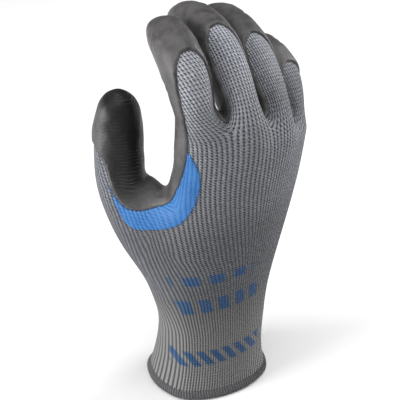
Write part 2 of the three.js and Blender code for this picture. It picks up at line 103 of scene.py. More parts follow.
HALF = PALM_WIDTH / 2
SECTIONS = table("up x y half back front cup turn thenar", (
    (0.000, 0.000, 0.000, RIM_WIDTH / 2, RIM_DEPTH / 2, RIM_DEPTH / 2, 0, 0, 0),
    (0.104, 0.012, 0.000, 0.438 * RIM_WIDTH, 0.45 * RIM_DEPTH, 0.45 * RIM_DEPTH, 0, 0, 0),
    (0.230, 0.032, 0.000, WRIST_WIDTH / 2, WRIST_DEPTH / 2, WRIST_DEPTH / 2, 3, 0, 0),
    (0.340, 0.030, -0.011, 0.53 * WRIST_WIDTH, 0.476 * WRIST_DEPTH, 0.488 * WRIST_DEPTH, 8, 1,
     0.1),
    (0.539, 0.092, -0.056, 0.734 * HALF, 0.462 * PALM_DEPTH, 0.55 * PALM_DEPTH, 21, 6, 0.16),
    (0.732, 0.171, -0.107, 0.878 * HALF, 0.412 * PALM_DEPTH, 0.512 * PALM_DEPTH, 36, 11, 0),
    (0.876, 0.221, -0.158, 0.923 * HALF, 0.362 * PALM_DEPTH, 0.412 * PALM_DEPTH, 48, 15, 0),
    (1.000, 0.239, -0.191, HALF, 0.3 * PALM_DEPTH, 0.312 * PALM_DEPTH, 55, 17, 0),
))
TOP = len(SECTIONS) - 1
COLUMN_AT = np.array([-0.9, -0.71, -0.49, -0.27, -0.05, 0.17, 0.39, 0.64, 0.9])
EDGE_REACH = 1.07        # the side edges, as a share of half the width
KNUCKLE_TUCK = 0.025     # how far the little finger's root is drawn in from the edge
KNUCKLE_ROW = ((-1, -0.5, 0, 0.45, 1), (-0.014, 0.002, -0.026, -0.114, -0.158))
PALM_SIDE_RISE = 0.028   # the crotches lie higher on the palm's side
EDGE_THINNING, EDGE_POWER = 0.45, 2.4    # a section is this much thinner at its edges
CROTCH_PINCH, KNUCKLE_SWELL = 0.6, 1.12
WEB_DIP, ROOT_DROP = 0.0106, 0.007
THENAR_WAY = np.array([-0.85, 0.5, 0])   # the thumb's ball swells this way, by these shares
THENAR_SHARES = {18: 1.0, 19: 1.0, 17: 0.6, 0: 0.35, 16: 0.2}

# %% [markdown]
# Each cage vertex also carries two distances in millimetres, to the charcoal coat's edge and to
# the blue band's outer edge, positive on the coated side. They are smoothed along with the
# places, so their zero lines are smooth curves on the glove.

# %% Columns of a cage vertex, and the coat's distances on the palm
PLACE = slice(0, 3)
COAT, BAND, COURSE, SHARE, THUMB = 3, 4, 5, 6, 7
FIELDS = 8
COAT_FROM = 0.381        # the coat's lower edge on the palm, a share of the hand's length
COAT_FULL = 12.0
BACK_BARE = -14.0
KNUCKLE_EDGE = (-3.0, -8.0)      # in the top ring, at the crotches and at the knuckles
LITTLE_EDGE = (-9, -2, 5)        # beside the little finger's edge: back, edge and palm
WEB_COAT = 3
EDGE_ROWS = {
    0: (-20, -20, -20, -20, -20, -5, 0, 1.3),
    1: (-24, -24, -24, -24, -24, -14, -10, -9),
    18: (-50, -37, -22, -7, 2, 8, 9, 10),
    19: (-20, -20, -16, -12, 0, 4.3, 5.5, 6.5),
}
BAND_ROWS = {
    0: (-20, -20, -20, -20, -14, 8, 7, -3),
    1: (-24, -24, -24, -24, -20, -2.5, -1.5, -12),
    18: EDGE_ROWS[18],
    19: (-20, -20, -16, -12, 0, 12.3, 13.5, -2),
}


def palm_distances(row, z):
    """Distances to the coat and the band for one palm ring: the palm by its height above the
    coat's lower edge, the back far outside it, and the thumb's edge from the tables."""
    above = z - COAT_FROM * HAND_LENGTH
    j = np.arange(RING_SIZE)
    back = np.where(row < TOP, BACK_BARE, np.where(j % 2 == 0, *KNUCKLE_EDGE))
    coat = np.where(j < COLUMNS, back, np.minimum(COAT_FULL, above))
    coat[COLUMNS - 1] = LITTLE_EDGE[0]
    for k in (0, 1):
        coat[COLUMNS + k] = min(LITTLE_EDGE[1 + k], above[COLUMNS + k])
    band = coat.copy()
    for column, values in EDGE_ROWS.items():
        coat[column] = values[row]
        band[column] = BAND_ROWS[column][row]
    return coat, band


# %% One ring of the palm
X_WAY, BACK_WAY, UP_WAY = np.array([[1.0, 0, 0], [0, -1, 0], [0, 0, 1]])


def turned(a, b, angle):
    """Two directions turned in their plane, a towards b."""
    return a * np.cos(angle) + b * np.sin(angle), b * np.cos(angle) - a * np.sin(angle)


def on_arch(section, s):
    """Points and directions on a ring's arch at s, from -1 at the thumb's edge to 1: the point
    of a circular arc at the angle cup * s, rolled by turn."""
    s = np.asarray(s, float)
    cup, roll = math.radians(section["cup"]), math.radians(section["turn"])
    if cup > 0:
        radius = section["half"] / cup
        x, y = radius * np.sin(cup * s), radius * (1 - np.cos(cup * s))
    else:
        x, y = section["half"] * s, np.zeros_like(s)
    z = np.full_like(s, section["up"] * HAND_LENGTH)
    point = np.stack([
        section["x"] * PALM_WIDTH + x * math.cos(roll) - y * math.sin(roll),
        section["y"] * PALM_WIDTH + x * math.sin(roll) + y * math.cos(roll), z], -1)
    return point, *turned(BACK_WAY, X_WAY, (cup * s + roll)[..., None])


def palm_ring(row):
    """The 20 cage vertices of a ring: the arch, moved out by the back's depth or in by the
    palm's, both thinner towards the edges and, at the fingers' roots, pinched at the crotches."""
    section = SECTIONS[row]
    s = np.concatenate([COLUMN_AT, [1], COLUMN_AT[::-1], [-1]])
    point, out, along = on_arch(section, s)
    share = 1 - EDGE_THINNING * np.abs(COLUMN_AT) ** EDGE_POWER
    if row == TOP:
        inner = slice(1, COLUMNS - 1)
        pinch = np.where(np.arange(COLUMNS) % 2 == 0, CROTCH_PINCH, KNUCKLE_SWELL)
        share[inner] *= pinch[inner]
    edge = (EDGE_REACH - 1) * section["half"]
    away = np.concatenate([section["back"] * share, [0], -section["front"] * share[::-1], [0]])
    point = point + out * away[:, None]
    point[COLUMNS] += along[COLUMNS] * (edge - (KNUCKLE_TUCK * PALM_WIDTH if row == TOP else 0))
    point[-1] -= along[-1] * edge
    for column, thenar in THENAR_SHARES.items():
        point[column] += THENAR_WAY * section["thenar"] * PALM_DEPTH * thenar
    if row == TOP:
        point[:, 2] += np.interp(s, *KNUCKLE_ROW) * HAND_LENGTH
    course = point[:, 2].copy()
    if row == TOP:
        point[COLUMNS + 1:-1, 2] += PALM_SIDE_RISE * HAND_LENGTH
    coat, band = palm_distances(row, point[:, 2])
    ring = np.zeros((RING_SIZE, FIELDS))
    ring[:, PLACE] = point
    ring[:, COAT], ring[:, BAND], ring[:, COURSE] = coat, band, course
    return ring


# %% [markdown]
# ## Fingers and thumb
#
# A finger is a tube of eight sides along a bent middle line. The line turns at the two joints,
# and a smooth step at each share of the length makes the turn as soft as a real one in a glove.
# The knit shows on the back of each finger as a tongue with a round tip: its edge is a
# distance round the finger that closes towards the tongue's apex.

# %% Tables of the fingers
FINGERS = table("length width depth splay turn flex tongue open lean apex shift", (
    (66.8, 1.02, 0.978, -8.8, -9.5, (2, 57, 43), 28, 67, -16, 0.54, (-0.008, -0.012)),
    (87.2, 0.965, 1.06, -2.6, -2, (32, 43, 42), 20, 78, -26, 0.53, (0.004, 0.016)),
    (82.5, 0.9, 0.94, 0.5, 1, (33, 33.5, 38), 18, 78, -26, 0.53, (0.013, 0.002)),
    (55, 0.92, 0.81, 2.4, 7, (10, 48, 38), 24, 78, -22, 0.49, (0.06, -0.008)),
))
FINGER_RINGS = ((0.09, 0.81, 1), (0.22, 0.95, 1.01), (0.38, 1, 1.05),
                (0.55, 0.97, 0.98), (0.72, 0.91, 0.9), (0.89, 0.73, 0.71))
JOINTS_AT, JOINT_SOFTNESS = (0.362, 0.688), 0.045
UNTWIST_BY = 0.55        # by here a finger's rings have turned from the arch to its own plane
LINE_STEPS = 400
PAST_APEX = 0.5          # past the tongue's apex the way round counts this much
TONGUE_DEEP = -8         # the least distance inside a tongue

# %% Tables of the thumb
THUMB_HOLE = (3, 4, 5)   # the palm rings that its hole spans, at the thumb's edge
THUMB_RINGS = table("out front up lean face width depth", (
    (0.044, 0.128, 0.112, 77.1, -14.7, 0.906, 0.583),
    (0.095, 0.199, 0.200, 62.5, -21.8, 0.717, 0.567),
    (0.130, 0.274, 0.300, 39.8, -25.3, 0.525, 0.542),
    (0.130, 0.351, 0.402, 17.7, -29.3, 0.487, 0.517),
    (0.108, 0.405, 0.525, 4.8, -31.4, 0.470, 0.490),
    (0.082, 0.446, 0.660, 0.0, -31.7, 0.467, 0.465),
    (0.058, 0.473, 0.790, -2.6, -32.1, 0.412, 0.410),
    (0.049, 0.483, 0.885, -3.6, -30.1, 0.290, 0.290),
))
THUMB_TIP = (0.050, 0.487, 0.978)
THUMB_FADE = 3           # the thumb's own look sets in over this many rings
THUMB_COAT = np.array([  # distances to the coat's edge, by ring and by side of the octagon
    (-15, -13, 1.8, 10, 12, 8, -5, -15),
    (-13, -6, 6, 13, 12, 7, -5, -12),
    (-8, 1.2, 9, 15, 12, 5, -5, -9),
    (-5, 2.8, 12, 14, 12, 4, -5, -8),
    (-4.8, 3.3, 12, 14, 12, 3.3, -4.8, -6),
    (2, 8, 14, 15, 14, 8, 2, 1.5),
    (9, 12, 14, 14, 14, 12, 9, 8),
    (12, 12, 12, 12, 12, 12, 12, 12)], float)
THUMB_BAND = THUMB_COAT.copy()
THUMB_BAND[:3] = [
    (-15, -4.8, 11, 16, 16, 8, -5, -15),
    (-8, 2, 15, 18, 16, 7, -5, -12),
    (-6, 4.5, 14, 18, 14, 5, -5, -9)]

# %% A ring of eight sides, and a finger's middle line
SHARPNESS = 0.8          # how far an octagon's corners reach
SHRINK = 0.93            # a cage ring of 8 rounds off to this share of its size
OCTANT, HALF_TURN = 45, 180
turns = np.radians(135 - OCTANT * np.arange(8))
reach = np.where(np.arange(8) % 2 == 0, SHARPNESS * math.sqrt(2), 1.0) / SHRINK
OCTAGON = np.stack([np.cos(turns) * reach, np.sin(turns) * reach], 1)


def octagon_ring(centre, across, out):
    """Rows of one octagon. Across and out are each a direction and two factors of its size."""
    rows = np.zeros((8, FIELDS))
    (u, width, wide), (v, depth, deep) = across, out
    rows[:, PLACE] = (centre + OCTAGON[:, :1] * u * width * wide
                      + OCTAGON[:, 1:] * v * depth * deep)
    return rows


def bent_line(length, flex, shares):
    """Angle, way forward and way down at some shares of a finger: the angle is a smooth step
    at each joint, and its cosine and sine are summed along the line."""
    s = np.linspace(0, length, LINE_STEPS)
    turn = [1 / (1 + np.exp(-(s / length - at) / JOINT_SOFTNESS)) for at in JOINTS_AT]
    angle = np.radians(flex[0] + flex[1] * turn[0] + flex[2] * turn[1])
    step = np.diff(s)
    middle = (angle[1:] + angle[:-1]) / 2
    ahead = np.concatenate([[0], np.cumsum(np.cos(middle) * step)])
    down = np.concatenate([[0], np.cumsum(np.sin(middle) * step)])
    at = np.asarray(shares) * length
    return [np.interp(at, s, values) for values in (angle, ahead, down)]


def tongue_distance(finger, share, radius):
    """Distance to the knit's tongue at the eight sides: the way round from its middle, less an
    opening that closes as the square root of 1 - (share / apex) cubed."""
    side = -OCTANT + OCTANT * np.arange(8)
    ratio = share / finger["apex"]
    middle = finger["tongue"] + finger["lean"] * min(1, ratio)
    wrapped = np.abs((side - middle + HALF_TURN) % (2 * HALF_TURN) - HALF_TURN)
    if ratio >= 1:
        past = (share - finger["apex"]) * finger["length"]
        return radius * np.radians(wrapped) * PAST_APEX + past
    opening = finger["open"] * math.sqrt(1 - ratio ** 3)
    return np.clip(radius * np.radians(wrapped - opening), TONGUE_DEEP, COAT_FULL)


# %% The whole cage
def unit(v):
    """v at length 1."""
    return v / np.linalg.norm(v, axis=-1, keepdims=True)


LEAN_FROM, LEAN_BY, LEAN = 30.0, 100.0, 1.9    # columns the wales move thumbwards over a height
WALE_FAN = np.array([0, 0, 0.08, 0.42, 1.15, 0.95, 0.85, 0.85])    # and more at the thumb's edge
FAN_REACH = 4            # columns from the thumb's edge over which that fades out
INDEX_DRIFT = 3.5        # columns that the index's wales turn on the way to its tip
THUMB_ACROSS = np.array([0.9, -0.32, 0.3])     # the way across the wales that enter the thumb
THUMB_COLUMN = 10.8      # width of one column there
ROOT_STEP = 0.7          # columns that one side of the hole takes on the palm's side
FAR_COLUMN = 14          # from here on columns count down from the thumb's edge


def ease(share):
    """A smooth step from 0 to 1."""
    share = np.clip(share, 0, 1)
    return share * share * (3 - 2 * share)


def lean_at(course):
    """How many columns the wales have moved towards the thumb at a height."""
    return LEAN * ease((course - LEAN_FROM) / LEAN_BY)


def wale_at(row, column):
    """The wale, in columns, at a section and column, before the lean: the wales fan out beside
    the thumb."""
    return column + WALE_FAN[row] * np.clip(1 - np.abs(column) / FAN_REACH, 0, 1)


def thumb_wales(ring, corner, wale):
    """The wales round one ring of the thumb, before the lean. Its back shows the wales of the
    palm running on, measured from a corner of the hole, and its sides go on by their widths."""
    places = ring[:, PLACE]
    wale = wale + lean_at(corner[2]) - lean_at(ring[:3, COURSE])
    back = wale + (places[:3] - corner) @ THUMB_ACROSS / THUMB_COLUMN
    width = np.linalg.norm(np.roll(places, -1, 0) - places, axis=1) / THUMB_COLUMN
    front = back[2] + np.cumsum(width[2:5])
    below = back[0] - width[7] - np.array([width[6], 0])
    return np.array([*back, *front, *below, back[0]])


CLOSED = np.arange(9) % 8        # round a ring of eight and back to its start


class Cage:
    """Vertices, quads, and the wale number at each quad's corners."""

    def __init__(self):
        self.vertices, self.quads, self.wales, self.count = [], [], [], 0

    def add(self, rows):
        """Adds vertices and gives their numbers."""
        rows = np.atleast_2d(rows)
        self.vertices.append(rows)
        self.count += len(rows)
        return np.arange(self.count - len(rows), self.count)

    def point(self, numbers):
        return np.vstack(self.vertices)[numbers, PLACE]

    def join(self, low, high, low_wales, high_wales):
        """Quads between two rows of vertices, each with its wale numbers."""
        for kept, a, b in ((self.quads, low, high), (self.wales, low_wales, high_wales)):
            kept.append(np.stack([a[:-1], a[1:], b[1:], b[:-1]], 1))

    def tube(self, ring, rings, tip, wales):
        """Joins rings of eight to a first ring, and closes the last one with four quads. Each
        row of wales holds the numbers round one ring, the first one's included."""
        for old, new, rows in zip(wales, wales[1:], rings):
            after = self.add(rows)
            self.join(ring[CLOSED], after[CLOSED], old, new)
            ring = after
        even, tips = np.arange(0, 8, 2), np.repeat(self.add(tip), 4)
        self.quads.append(np.stack([ring[even], ring[even + 1], tips, ring[even - 1]], 1))
        middle = np.full(4, new.mean())
        self.wales.append(np.stack([new[even], new[even + 1], middle, new[even]], 1))


def glove_cage():
    """The palm's rings with a hole for the thumb, webs between the fingers, and five tubes."""
    cage = Cage()
    for row in range(TOP + 1):
        cage.add(palm_ring(row))
    at = np.arange(cage.count).reshape(TOP + 1, RING_SIZE)
    low, middle, high = THUMB_HOLE
    for row in range(TOP):
        end = RING_SIZE - 2 if low <= row < high else RING_SIZE
        for column in np.arange(FAR_COLUMN + 1.0), np.arange(FAR_COLUMN, end + 1.0) - RING_SIZE:
            j = column.astype(int) % RING_SIZE
            cage.join(at[row, j], at[row + 1, j], wale_at(row, column), wale_at(row + 1, column))

    webs = [at[TOP, -1]]
    for k in range(1, len(FINGERS)):
        pair = at[TOP, [2 * k, RING_SIZE - 2 - 2 * k]]
        web = np.vstack(cage.vertices)[pair].mean(0)
        web[2] -= WEB_DIP * HAND_LENGTH
        web[COAT] = web[BAND] = WEB_COAT
        webs.append(cage.add(web)[0])
    webs.append(at[TOP, COLUMNS])

    for k, finger in enumerate(FINGERS):
        back = at[TOP, 2 * k:2 * k + 3]
        front = at[TOP, RING_SIZE - 4 - 2 * k:RING_SIZE - 1 - 2 * k]
        first = np.array([*back, webs[k + 1], *front, webs[k]])
        base = (cage.point(back[1]) + cage.point(front[1])) / 2
        base[2] -= ROOT_DROP * HAND_LENGTH
        if k in (0, len(FINGERS) - 1):       # the outer fingers reach out to the side edges
            edge = (webs[0], back[0]) if k == 0 else (webs[-1], back[2])
            base[:2] += (cage.point(edge[0]) - cage.point(edge[1]))[:2] / 2
        base[:2] += np.array(finger["shift"]) * PALM_WIDTH
        rings, tip = finger_rings(finger, k, base)
        backs = wale_at(TOP, 2.0 * k + np.arange(3))
        wales = np.array([*backs, *(backs[2] + [1, 2, 3]), *(backs[0] - [2, 1, 0])])
        drift = INDEX_DRIFT if k == 0 else 0
        cage.tube(first, rings, tip, [wales] + [wales + drift * ring[0, SHARE] for ring in rings])

    first = at[[low, middle, high, high, high, middle, low, low], [0, 0, 0, -1, -2, -2, -2, -1]]
    root = (cage.point(at[middle, 0]) + cage.point(at[middle, -2])) / 2
    rings, tip = thumb_rings(root)
    edge = wale_at(np.array([low, middle, high]), np.zeros(3))
    below = wale_at(low, np.array([-2, -1, 0]))
    wales = [np.array([*edge, *(edge[2] + ROOT_STEP * np.arange(1, 4)), *below])]
    corner = cage.point(first[1])
    cage.tube(first, rings, tip, wales + [thumb_wales(ring, corner, edge[1]) for ring in rings])
    return np.vstack(cage.vertices), np.vstack(cage.quads), np.vstack(cage.wales)


def tip_row(place, course, share, thumb):
    """The one vertex that closes a tube."""
    tip = np.zeros(FIELDS)
    tip[PLACE] = place
    tip[[COAT, BAND, COURSE, SHARE, THUMB]] = COAT_FULL, COAT_FULL, course, share, thumb
    return tip


def finger_rings(finger, k, base):
    """A finger's rings and tip: octagons across its bent line, turned at first to the arch."""
    roll = math.radians(finger["turn"])
    out, across = turned(BACK_WAY, X_WAY, roll)
    forward, sideways = turned(UP_WAY, across, math.radians(finger["splay"]))
    arch = on_arch(SECTIONS[TOP], COLUMN_AT[2 * k + 1])[1]
    twist = math.atan2(arch[0], -arch[1]) - roll
    shares = [ring[0] for ring in FINGER_RINGS] + [1]
    angles, aheads, downs = bent_line(finger["length"], finger["flex"], shares)
    width = finger["width"] * FINGER_WIDTH / 2
    depth = finger["depth"] * FINGER_DEPTH / 2
    rings = []
    for (share, wide, deep), angle, ahead, down in zip(FINGER_RINGS, angles, aheads, downs):
        top = turned(out, forward, angle)[0]
        v, u = turned(top, sideways, twist * max(0, 1 - share / UNTWIST_BY))
        middle = base + forward * ahead - out * down
        ring = octagon_ring(middle, (u, width, wide), (v, depth, deep))
        ring[:, COAT] = ring[:, BAND] = tongue_distance(finger, share, width)
        ring[:, COURSE] = base[2] + share * finger["length"]
        ring[:, SHARE] = share
        rings.append(ring)
    place = base + forward * aheads[-1] - out * downs[-1]
    return rings, tip_row(place, base[2] + finger["length"], 1, 0)


def thumb_rings(root):
    """The thumb's rings and tip, each ring with its own lean and facing."""
    back = unit(np.array([-0.5, -0.86, 0]))      # the side of its back
    rings = []
    for k, ring in enumerate(THUMB_RINGS):
        centre = root + np.array([-ring["out"], ring["front"], ring["up"]]) * THUMB_LENGTH
        flat = turned(X_WAY, -BACK_WAY, math.radians(ring["face"]))[0]
        u = turned(flat, UP_WAY, math.radians(ring["lean"]))[0]
        v = unit(back - (back @ u) * u)
        rows = octagon_ring(centre, (u, ring["width"], THUMB_WIDTH),
                            (v, ring["depth"], THUMB_DEPTH))
        rows[:, COAT], rows[:, BAND] = THUMB_COAT[k], THUMB_BAND[k]
        rows[:, COURSE] = rows[:, 2]
        rows[:, THUMB] = min(1, k / THUMB_FADE)
        rings.append(rows)
    out, front, up = THUMB_TIP
    place = root + np.array([-out, front, up]) * THUMB_LENGTH
    return rings, tip_row(place, place[2], 0, 1)


# %% [markdown]
# ## Rounding the cage
#
# Catmull-Clark smoothing puts a point in each quad and on each edge, and pulls each old point
# towards its neighbours. Blender's Subdivision Surface does the same, but doing it here in numpy
# smooths the coat's distances by the same rule and keeps the stitch coordinates at hand.

# %% Smoothing
def summed(count, numbers, rows):
    """Rows added up by their numbers."""
    total = np.zeros((count, rows.shape[1]))
    np.add.at(total, numbers.ravel(), rows)
    return total


def edges_of(faces):
    """The faces' directed sides, the edges that they lie on, each side's edge, and how many
    faces use each edge."""
    sides = np.stack([faces, np.roll(faces, -1, 1)], 2).reshape(-1, 2)
    edges, side_of, uses = np.unique(
        np.sort(sides, 1), axis=0, return_inverse=True, return_counts=True)
    return sides, edges, side_of.reshape(-1), uses


def smooth(points, quads, wales):
    """One Catmull-Clark step on all columns at once. The open rim is smoothed along itself."""
    count = len(points)
    faces = points[quads].mean(1)
    _, edges, side_of, uses = edges_of(quads)
    middles = points[edges].mean(1)
    sums = summed(len(edges), side_of, np.repeat(faces, 4, 0))
    edge_points = np.where((uses == 2)[:, None], (2 * middles + sums) / 4, middles)
    valence = np.bincount(edges.ravel(), minlength=count)[:, None]
    face_mean = (summed(count, quads, np.repeat(faces, 4, 0))
                 / np.bincount(quads.ravel(), minlength=count)[:, None])
    edge_mean = summed(count, edges, np.repeat(middles, 2, 0)) / valence
    moved = (face_mean + 2 * edge_mean + (valence - 3) * points) / valence
    rim = edges[uses == 1]
    rim_mean = summed(count, rim, np.repeat(points[rim].mean(1), 2, 0)) / 2
    on_rim = np.unique(rim)
    moved[on_rim] = (rim_mean[on_rim] + points[on_rim]) / 2
    edge_number = side_of.reshape(-1, 4) + count
    face_number = np.arange(len(quads)) + count + len(edges)

    def quarters(corner, side, centre):
        """The four smaller quads of each quad, from what its corners, sides and middle have."""
        return np.stack([np.stack([corner[:, i], side[:, i], centre, side[:, i - 1]], 1)
                         for i in range(4)], 1).reshape(-1, 4)

    return (np.vstack([moved, edge_points, faces]), quarters(quads, edge_number, face_number),
            quarters(wales, (wales + np.roll(wales, -1, 1)) / 2, wales.mean(1)))


def drop_unused(points, faces):
    """Leaves out the points that no face uses."""
    used, numbers = np.unique(faces, return_inverse=True)
    return points[used], numbers.reshape(faces.shape)


def normals_of(points, quads):
    """The mean of the quads' own normals round each point."""
    a, b, c, d = (points[quads[:, i], PLACE] for i in range(4))
    return unit(summed(len(points), quads, np.repeat(np.cross(c - a, d - b), 4, 0)))


LEVELS = 3
points, quads, wales = glove_cage()
points, quads = drop_unused(points, quads)
print("cage:", len(points), "vertices and", len(quads), "quads")
for _ in range(LEVELS):
    points, quads, wales = smooth(points, quads, wales)
normals = normals_of(points, quads)
print("rounded:", len(points), "vertices and", len(quads), "quads")

# %% [markdown]
# ## Stitch coordinates
#
# Knit fabric is columns of loops, called wales, crossed by rows, called courses. Each corner of a
# face gets its wale number and its course number as UV coordinates, so a pattern drawn in them
# follows the fabric up the hand and along every finger. On the way up the wales lean towards the
# thumb and some run into it. The cuff shows fewer of them, because its elastic yarn draws loops
# together into ribs.

# %% Wales and courses
WALES_LOW, WALES_HIGH = 4.7, 5.9      # wales to one column of the cage, at the cuff and above
GROW_FROM, GROW_BY = 20.0, 70.0       # height where their number starts to grow, and how long
RIB_TOP = 46.0                        # the cuff's ribs end here and the plain knit begins
MIDDLE_COLUMN = 4.0
COURSE_HEIGHT = 1.45


def stitch_coordinates(points, faces, columns):
    """Wale and course at each corner: columns from the middle of the back, leant, times the
    wales per column, which grow from the cuff to the palm, and the way up in courses."""
    course = points[faces, COURSE]
    per_column = WALES_LOW + (WALES_HIGH - WALES_LOW) * ease((course - GROW_FROM) / GROW_BY)
    columns = columns + lean_at(course)
    return np.stack([(columns - MIDDLE_COLUMN) * per_column, course / COURSE_HEIGHT], -1)


# %% Making a Blender object from arrays
def make_piece(name, places, faces, uv=None, thumb=None):
    """A smooth mesh object from places in millimetres, faces as an array of corner numbers, and
    for some UVs per corner and how much each vertex is part of the thumb."""
    mesh = bpy.data.meshes.new(name)
    mesh.from_pydata(places * MM, [], faces, shade_flat=False)
    if uv is not None:
        layer = mesh.uv_layers.new(name="stitches")
        layer.data.foreach_set("uv", uv.astype(np.float32).ravel())
    if thumb is not None:
        layer = mesh.attributes.new("thumb", "FLOAT", "POINT")
        layer.data.foreach_set("value", thumb.astype(np.float32))
    mesh.validate()
    piece = bpy.data.objects.new(name, mesh)
    bpy.context.scene.collection.objects.link(piece)
    print(name, "has", len(mesh.polygons), "faces")
    return piece


# %% [markdown]
# ## The knit
#
# The knit is one fabric about 1.6 mm thick: the rounded surface outside, the same surface moved
# in along its normals inside, and a strip that joins them round the rim of the cuff.

# %% Knit shell
def open_edges(faces):
    """The directed edges that one face uses and no other shares."""
    sides, _, side_of, uses = edges_of(faces)
    return sides[uses[side_of] == 1]


def halves(quads):
    """Two triangles for each quad, or for the rows of its four corners."""
    return np.concatenate([quads[:, [0, 1, 2]], quads[:, [0, 2, 3]]])


def shell(name, outer, inner, faces, uv, thumb=None):
    """A closed piece from two places of each point of an open surface, joined at its rim. The
    knit, in quads, keeps its stitches on the rim, and the coats are in triangles and need none."""
    count = len(outer)
    rim = open_edges(faces)
    strip = np.stack([rim[:, 1], rim[:, 0], rim[:, 0] + count, rim[:, 1] + count], 1)
    if faces.shape[1] == 4:
        strip_uv = np.repeat(stitch_coordinates(points, rim, np.zeros(rim.shape)), 2, 1)
    else:
        strip = halves(strip)
        strip_uv = np.zeros((*strip.shape, 2))
    return make_piece(name, np.vstack([outer, inner]),
                      np.vstack([faces, faces[:, ::-1] + count, strip]),
                      np.concatenate([uv, uv[:, ::-1], strip_uv]), thumb)


stitches = stitch_coordinates(points, quads, wales)
inner = points[:, PLACE] - normals * KNIT_WALL
knit = shell("knit_glove", points[:, PLACE], inner, quads, stitches)

# %% [markdown]
# ## The dipped coats
#
# Latex is a skin with a soft round edge where the dip ended. The surface is cut along the zero
# line of the coat's distance, and cut again at a few small distances inside it, so that the skin
# can rise along a quarter circle from its edge to its full thickness. A little noise in the
# distance keeps the edge from looking machined.

# %% Cutting triangles along a line of equal distance
def ripple(places, size, seed):
    """Smooth noise without randomness: a sum of sines of the place in three turned directions."""
    total = np.zeros(len(places))
    for k in range(3):
        way = unit(np.array([math.sin(seed + 2.1 * k), math.cos(1.7 * seed + k),
                             math.sin(3 * k + 1)]))
        side = unit(np.cross(way, [0.3, 0.5, 0.8]))
        total += np.sin(places @ way * (2 * math.pi / size) + 2 * np.sin(places @ side / size))
    return total / 3


NEARLY = 0.04            # a value closer to zero than this counts as this, to spare slivers


def ripples(places, waves):
    """Ripples of several heights, sizes and seeds together."""
    return sum(height * ripple(places, size, seed) for height, size, seed in waves)


def divide(rows, triangles, uv, values, nearly=NEARLY):
    """Splits the triangles that values cross: the lone corner keeps one triangle, and the other
    two corners keep two. New points lie where the value is zero along each crossed edge."""
    values = np.where(np.abs(values) < nearly, nearly, values)
    positive = values > 0
    count = positive[triangles].sum(1)
    mixed = (count == 1) | (count == 2)
    whole, whole_uv = triangles[~mixed], uv[~mixed]
    cut, cut_uv, cut_count = triangles[mixed], uv[mixed], count[mixed]
    alone = np.argmax(positive[cut] == (cut_count == 1)[:, None], axis=1)
    order = (alone[:, None] + np.arange(3)) % 3
    cut = np.take_along_axis(cut, order, 1)
    cut_uv = np.take_along_axis(cut_uv, order[:, :, None], 1)
    a, b, c = cut.T
    pairs = np.sort(np.concatenate([np.stack([a, b], 1), np.stack([a, c], 1)]), 1)
    unique_pairs, number = np.unique(pairs, axis=0, return_inverse=True)
    number = number.reshape(-1) + len(rows)
    i, j = unique_pairs.T
    t = (values[i] / (values[i] - values[j]))[:, None]
    rows = np.vstack([rows, rows[i] + (rows[j] - rows[i]) * t])
    ab, ac = number[:len(a)], number[len(a):]
    uv_a, uv_b, uv_c = cut_uv.transpose(1, 0, 2)
    uv_ab = uv_a + (uv_b - uv_a) * (values[a] / (values[a] - values[b]))[:, None]
    uv_ac = uv_a + (uv_c - uv_a) * (values[a] / (values[a] - values[c]))[:, None]

    def pieces(a, b, c, ab, ac):
        return np.concatenate([np.stack(three, 1) for three in (
            (a, ab, ac), (ab, b, c), (ab, c, ac))])

    triangles = np.vstack([whole, pieces(a, b, c, ab, ac)])
    uv = np.concatenate([whole_uv, pieces(uv_a, uv_b, uv_c, uv_ab, uv_ac)])
    return rows, triangles, uv, np.concatenate([values, np.zeros(len(unique_pairs))])


def keep_positive(rows, triangles, uv, values):
    """The triangles on the positive side, with only their own points."""
    inside = values[triangles].sum(1) > 0
    used, numbers = np.unique(triangles[inside], return_inverse=True)
    return rows[used], numbers.reshape(-1, 3), uv[inside], values[used]


# %% A skin with a round edge
EDGE_CUTS = (0.12, 0.45, 1.0)    # shares of the round edge where the surface is cut again
EDGE_STEP = 0.12         # a skin is this share of its thickness at its very edge
RELIEF_FROM, RELIEF_BY = 0.6, 2  # how far inside the edge its relief starts, and fades in
SINK = 0.1               # how far a skin's inner face lies in the knit


def build_skin(name, distance, wall, roundness, relief):
    """A closed skin over the part of the surface where distance is positive. Its height is
    wall times a quarter circle of distance over roundness, plus relief."""
    rows = np.hstack([points, normals])
    rows, triangles, uv, values = keep_positive(
        *divide(rows, halves(quads), halves(stitches), distance))
    for level in EDGE_CUTS:
        stacked = np.hstack([rows, values[:, None]])
        stacked, triangles, uv, _ = divide(
            stacked, triangles, uv, values - level * roundness, nearly=NEARLY / 2)
        rows, values = stacked[:, :-1], stacked[:, -1]
    normal = unit(rows[:, FIELDS:])
    rise = np.clip(values / roundness, 0, 1)
    height = wall * (EDGE_STEP + (1 - EDGE_STEP) * np.sqrt(1 - (1 - rise) ** 2))
    height = height + relief(rows) * np.clip((values - RELIEF_FROM) / RELIEF_BY, 0, 1)
    return shell(name, rows[:, PLACE] + normal * height[:, None], rows[:, PLACE] - normal * SINK,
                 triangles, uv, np.tile(rows[:, THUMB], 2))


# %% Coat and band
INSIDE_BY = 5            # creases set in over this distance, from half of COAT_FULL
CREASES_AT, CREASE_WIDTH, CREASE_DEPTH = (0.30, 0.37, 0.66, 0.71), 0.012, 0.45
ROOT_SHARE = 0.02        # a finger starts at this share
COAT_EDGE, BAND_EDGE = 1.1, 0.7          # widths of their round edges
BAND_THICKNESS = 0.55
BAND_LAP = 0.1           # the blue band runs this far under the charcoal coat
COAT_WAVES = ((0.16, 11.0, 2.0), (0.09, 5.0, 5.0))
BAND_WAVES = ((0.05, 6.0, 3.0),)
EDGE_WAVES = ((0.25, 4.0, 1.0), (0.15, 1.9, 4.0))


